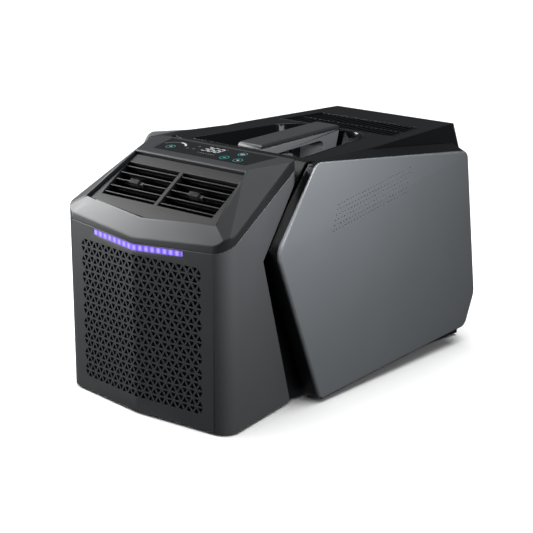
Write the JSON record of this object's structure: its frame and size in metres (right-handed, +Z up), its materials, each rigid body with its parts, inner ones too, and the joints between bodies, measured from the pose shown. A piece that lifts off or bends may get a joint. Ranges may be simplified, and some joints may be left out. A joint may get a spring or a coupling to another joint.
{
  "type": "portable air conditioner",
  "caption": "Portable compressor air conditioner with a perforated V nose, sloping louvred outlets, light bar, touch panel, carrying handle and faceted side panels.",
  "frame": {"origin": "on the floor under the centre of the unit's box", "axes": "+Z up, -Y towards the nose with the intake grille, +X to the unit's left as it faces the user"},
  "size_m": [0.302, 0.53, 0.3174],
  "materials": {
    "body_black": "fine satin texture, black",
    "circuit_board": "solder mask",
    "coil_aluminium": "plate fins",
    "compressor_paint": "black enamel",
    "control_glass": "black glass over lit icons",
    "filter_mesh": "woven nylon mesh in a frame",
    "foot_rubber": "matt",
    "handle_grey": "satin, graphite grey",
    "inner_plastic": "moulded",
    "knob_grey": "ribbed grip",
    "light_diffuser": "lit violet-white diffuser",
    "louvre_black": "satin black",
    "motor_steel": "pressed can",
    "pan_steel": "powder coated sheet",
    "panel_grey": "fine satin texture, graphite grey",
    "pipe_copper": "drawn copper tube",
    "plate_grey": "fine brushed satin, graphite grey",
    "screw_steel": "zinc plated",
    "shell_grey": "fine satin texture, graphite grey",
    "socket_black": "moulded",
    "well_black": "semi-gloss black"
  },
  "bodies": {
    "housing": {"accumulator": "compressor_paint", "air_filter": "filter_mesh", "base_pan": "pan_steel", "blower_housing": "inner_plastic", "blower_motor": "motor_steel", "casing_screws": "screw_steel", "compressor": "compressor_paint", "compressor_bolts": "screw_steel", "compressor_mounts": "foot_rubber", "condenser_coil": "coil_aluminium", "control_board": "circuit_board", "control_glass": "control_glass", "drain_spout": "socket_black", "electronics_lid": "pan_steel", "electronics_tray": "pan_steel", "evaporator_coil": "coil_aluminium", "exhaust_grille": "body_black", "fan_motor": "motor_steel", "fan_shroud": "inner_plastic", "front_shell": "shell_grey", "handle_cap": "handle_grey", "handle_grip": "handle_grey", "handle_well": "well_black", "hood": "shell_grey", "left_panel": "panel_grey", "left_pod": "body_black", "light_board": "circuit_board", "light_diffuser": "light_diffuser", "main_casing": "body_black", "mid_frame": "body_black", "outlet_duct": "inner_plastic", "partition": "pan_steel", "power_board": "circuit_board", "power_inlet": "socket_black", "rear_cover": "body_black", "refrigerant_pipes": "pipe_copper", "right_panel": "panel_grey", "right_pod": "body_black", "rubber_feet": "foot_rubber", "vent_plate": "plate_grey"},
    "left_slat_1": {"left_slat_1": "louvre_black"},
    "left_slat_2": {"left_slat_2": "louvre_black"},
    "left_slat_3": {"left_slat_3": "louvre_black"},
    "left_slat_4": {"left_slat_4": "louvre_black"},
    "left_slat_5": {"left_slat_5": "louvre_black"},
    "left_knob": {"left_knob": "knob_grey"},
    "left_vane_1": {"left_vane_1": "louvre_black"},
    "left_vane_2": {"left_vane_2": "louvre_black"},
    "left_vane_3": {"left_vane_3": "louvre_black"},
    "right_slat_1": {"right_slat_1": "louvre_black"},
    "right_slat_2": {"right_slat_2": "louvre_black"},
    "right_slat_3": {"right_slat_3": "louvre_black"},
    "right_slat_4": {"right_slat_4": "louvre_black"},
    "right_slat_5": {"right_slat_5": "louvre_black"},
    "right_knob": {"right_knob": "knob_grey"},
    "right_vane_1": {"right_vane_1": "louvre_black"},
    "right_vane_2": {"right_vane_2": "louvre_black"},
    "right_vane_3": {"right_vane_3": "louvre_black"},
    "blower_wheel": {"blower_wheel": "inner_plastic"},
    "condenser_fan": {"condenser_fan": "inner_plastic"}
  },
  "joints": [
    {"name": "left_slat_1_tilt", "type": "hinge", "parent": "housing", "child": "left_slat_1", "pos_m": [-0.04985, -0.21557, 0.25886], "axis": [1, 0, 0], "range_deg": [-36, 36]},
    {"name": "left_slat_2_tilt", "type": "hinge", "parent": "housing", "child": "left_slat_2", "pos_m": [-0.04985, -0.20614, 0.26544], "axis": [1, 0, 0], "range_deg": [-36, 36]},
    {"name": "left_slat_3_tilt", "type": "hinge", "parent": "housing", "child": "left_slat_3", "pos_m": [-0.04985, -0.1967, 0.27202], "axis": [1, 0, 0], "range_deg": [-35, 35]},
    {"name": "left_slat_4_tilt", "type": "hinge", "parent": "housing", "child": "left_slat_4", "pos_m": [-0.04985, -0.18727, 0.2786], "axis": [1, 0, 0], "range_deg": [-36, 36]},
    {"name": "left_slat_5_tilt", "type": "hinge", "parent": "housing", "child": "left_slat_5", "pos_m": [-0.04985, -0.17784, 0.28518], "axis": [1, 0, 0], "range_deg": [-36, 36]},
    {"name": "left_knob_slide", "type": "slide", "parent": "left_slat_3", "child": "left_knob", "axis": [1, 0, 0], "range_m": [-0.012, 0.012]},
    {"name": "left_vane_1_swing", "type": "hinge", "parent": "housing", "child": "left_vane_1", "pos_m": [-0.07322, -0.18555, 0.25603], "axis": [0, 0.8202, 0.5721], "range_deg": [-35, 35]},
    {"name": "left_vane_2_swing", "type": "hinge", "parent": "housing", "child": "left_vane_2", "pos_m": [-0.04985, -0.18555, 0.25603], "axis": [0, 0.8202, 0.5721], "range_deg": [-35, 35]},
    {"name": "left_vane_3_swing", "type": "hinge", "parent": "housing", "child": "left_vane_3", "pos_m": [-0.02647, -0.18555, 0.25603], "axis": [0, 0.8202, 0.5721], "range_deg": [-35, 35]},
    {"name": "right_slat_1_tilt", "type": "hinge", "parent": "housing", "child": "right_slat_1", "pos_m": [0.04985, -0.21557, 0.25886], "axis": [1, 0, 0], "range_deg": [-36, 36]},
    {"name": "right_slat_2_tilt", "type": "hinge", "parent": "housing", "child": "right_slat_2", "pos_m": [0.04985, -0.20614, 0.26544], "axis": [1, 0, 0], "range_deg": [-36, 36]},
    {"name": "right_slat_3_tilt", "type": "hinge", "parent": "housing", "child": "right_slat_3", "pos_m": [0.04985, -0.1967, 0.27202], "axis": [1, 0, 0], "range_deg": [-35, 35]},
    {"name": "right_slat_4_tilt", "type": "hinge", "parent": "housing", "child": "right_slat_4", "pos_m": [0.04985, -0.18727, 0.2786], "axis": [1, 0, 0], "range_deg": [-36, 36]},
    {"name": "right_slat_5_tilt", "type": "hinge", "parent": "housing", "child": "right_slat_5", "pos_m": [0.04985, -0.17784, 0.28518], "axis": [1, 0, 0], "range_deg": [-36, 36]},
    {"name": "right_knob_slide", "type": "slide", "parent": "right_slat_3", "child": "right_knob", "axis": [1, 0, 0], "range_m": [-0.012, 0.012]},
    {"name": "right_vane_1_swing", "type": "hinge", "parent": "housing", "child": "right_vane_1", "pos_m": [0.02647, -0.18555, 0.25603], "axis": [0, 0.8202, 0.5721], "range_deg": [-35, 35]},
    {"name": "right_vane_2_swing", "type": "hinge", "parent": "housing", "child": "right_vane_2", "pos_m": [0.04985, -0.18555, 0.25603], "axis": [0, 0.8202, 0.5721], "range_deg": [-35, 35]},
    {"name": "right_vane_3_swing", "type": "hinge", "parent": "housing", "child": "right_vane_3", "pos_m": [0.07322, -0.18555, 0.25603], "axis": [0, 0.8202, 0.5721], "range_deg": [-35, 35]},
    {"name": "blower_spin", "type": "hinge", "parent": "housing", "child": "blower_wheel", "pos_m": [0, -0.149, 0.122], "axis": [1, 0, 0], "continuous": true},
    {"name": "condenser_fan_spin", "type": "hinge", "parent": "housing", "child": "condenser_fan", "pos_m": [0, 0.182, 0.274], "axis": [0, 0, 1], "continuous": true}
  ],
  "couplings": [
    {"joint": "left_slat_1_tilt", "follows": "left_slat_3_tilt", "ratio": 1},
    {"joint": "left_slat_2_tilt", "follows": "left_slat_3_tilt", "ratio": 1},
    {"joint": "left_slat_4_tilt", "follows": "left_slat_3_tilt", "ratio": 1},
    {"joint": "left_slat_5_tilt", "follows": "left_slat_3_tilt", "ratio": 1},
    {"joint": "left_vane_1_swing", "follows": "left_knob_slide", "rad_per_m": 50},
    {"joint": "left_vane_2_swing", "follows": "left_knob_slide", "rad_per_m": 50},
    {"joint": "left_vane_3_swing", "follows": "left_knob_slide", "rad_per_m": 50},
    {"joint": "right_slat_1_tilt", "follows": "right_slat_3_tilt", "ratio": 1},
    {"joint": "right_slat_2_tilt", "follows": "right_slat_3_tilt", "ratio": 1},
    {"joint": "right_slat_4_tilt", "follows": "right_slat_3_tilt", "ratio": 1},
    {"joint": "right_slat_5_tilt", "follows": "right_slat_3_tilt", "ratio": 1},
    {"joint": "right_vane_1_swing", "follows": "right_knob_slide", "rad_per_m": 50},
    {"joint": "right_vane_2_swing", "follows": "right_knob_slide", "rad_per_m": 50},
    {"joint": "right_vane_3_swing", "follows": "right_knob_slide", "rad_per_m": 50}
  ]
}
